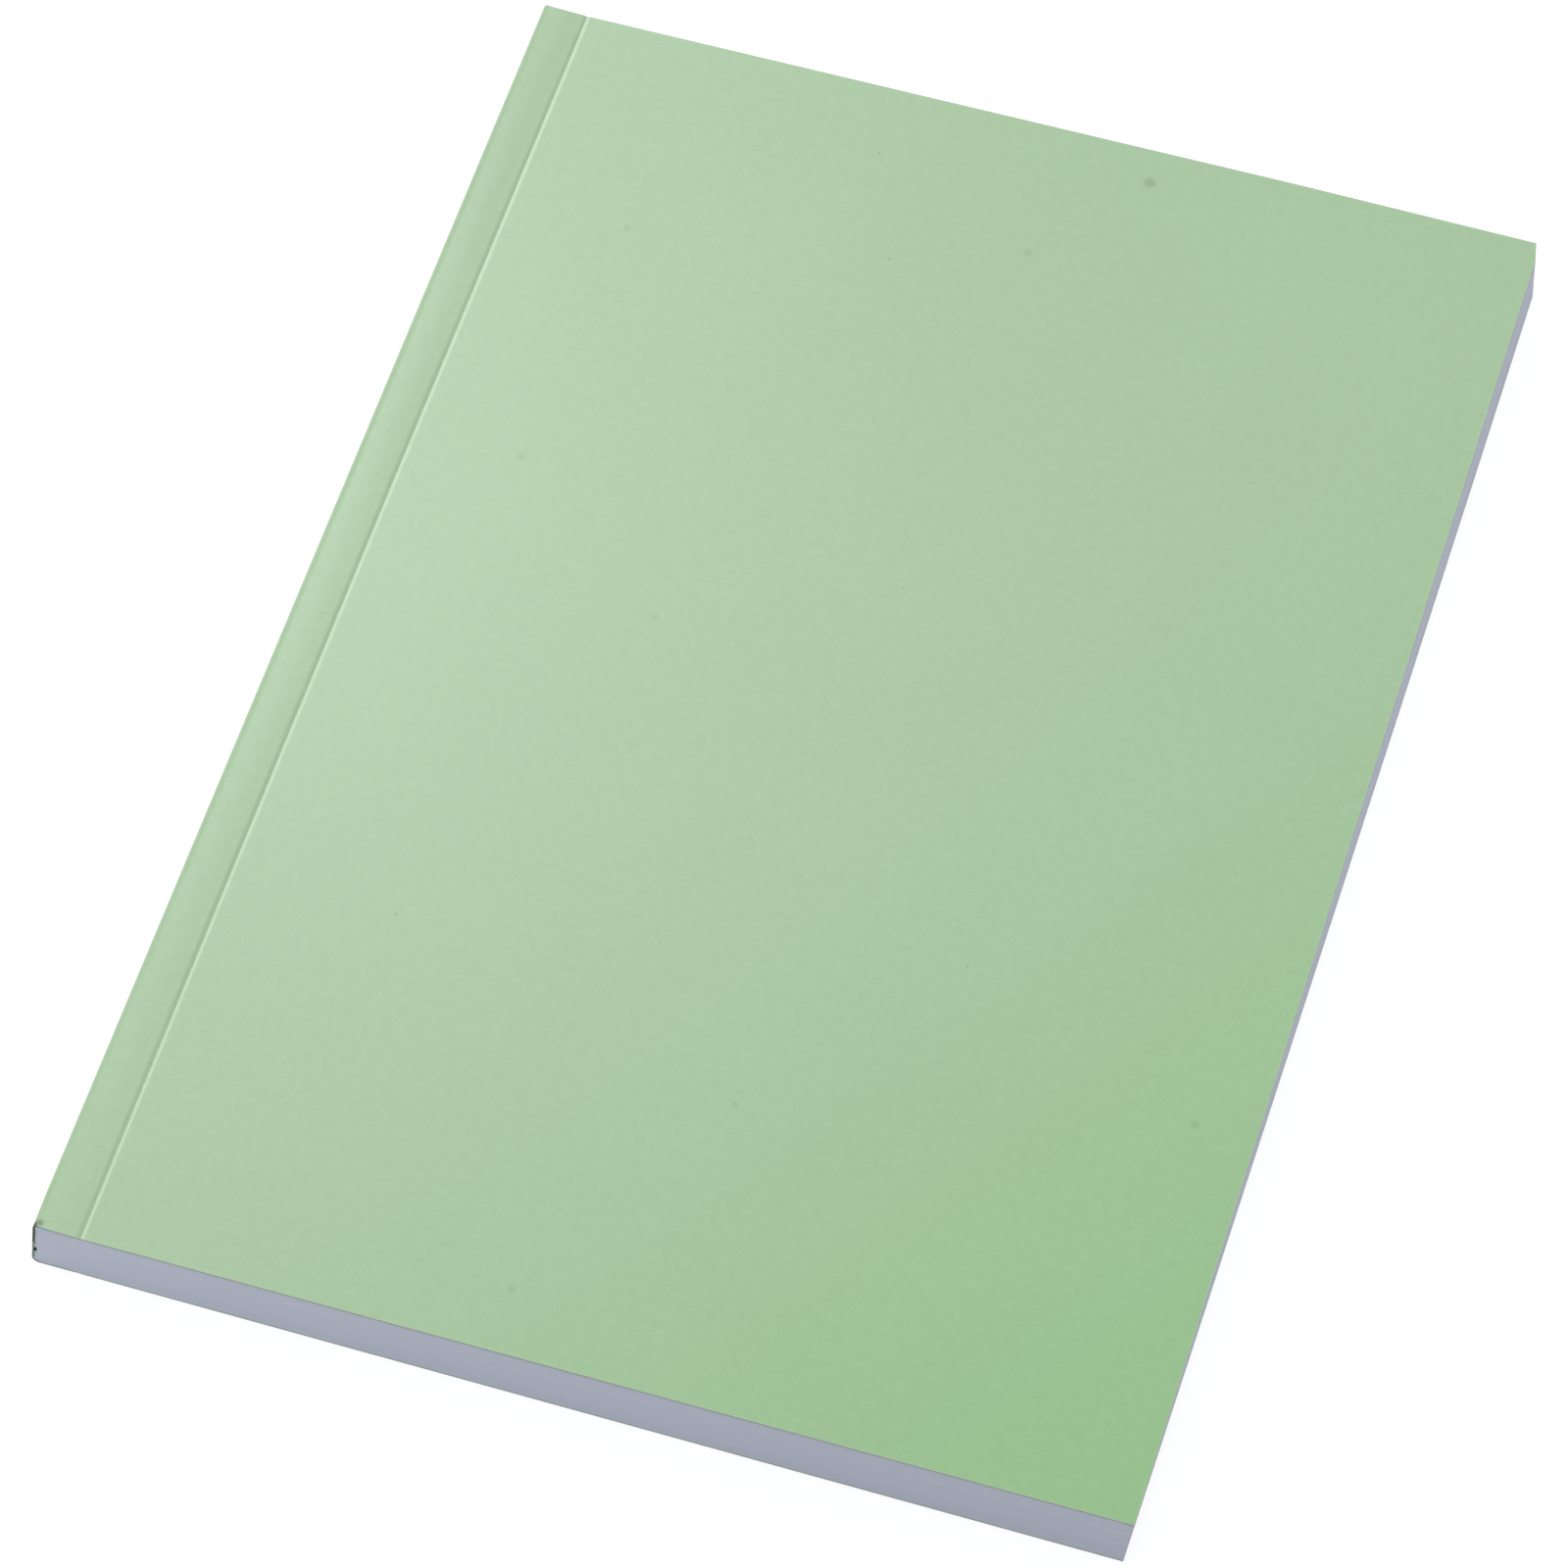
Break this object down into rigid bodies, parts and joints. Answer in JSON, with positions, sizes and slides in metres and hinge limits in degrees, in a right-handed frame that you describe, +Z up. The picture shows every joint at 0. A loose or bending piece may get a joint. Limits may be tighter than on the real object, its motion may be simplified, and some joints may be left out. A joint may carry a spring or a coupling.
{
  "type": "softcover notebook",
  "caption": "Perfect-bound softcover notebook with a plain green card cover, pressed hinge scores and a block of white pages; both covers open.",
  "frame": {"origin": "centre of the footprint, on the surface that the back cover lies on", "axes": "+X from the spine to the fore edge, +Y from the tail to the head, +Z up through the front cover"},
  "size_m": [0.149, 0.21, 0.011],
  "materials": {
    "page_paper": "matt uncoated, cut edges",
    "binding_glue": "hot-melt, milky",
    "cover_card": "satin, coloured card"
  },
  "bodies": {
    "block": {"page_block": "page_paper", "spine_glue": "binding_glue", "spine_wrap": "cover_card"},
    "front_cover": {"front_cover": "cover_card"},
    "back_cover": {"back_cover": "cover_card"}
  },
  "joints": [
    {"name": "front_cover_hinge", "type": "hinge", "parent": "block", "child": "front_cover", "pos_m": [-0.0671, 0, 0.01004], "axis": [0, -1, 0], "range_deg": [0, 175]},
    {"name": "back_cover_hinge", "type": "hinge", "parent": "block", "child": "back_cover", "pos_m": [-0.06765, 0, 0], "axis": [0.0052, 1, 0], "range_deg": [0, 175]}
  ]
}
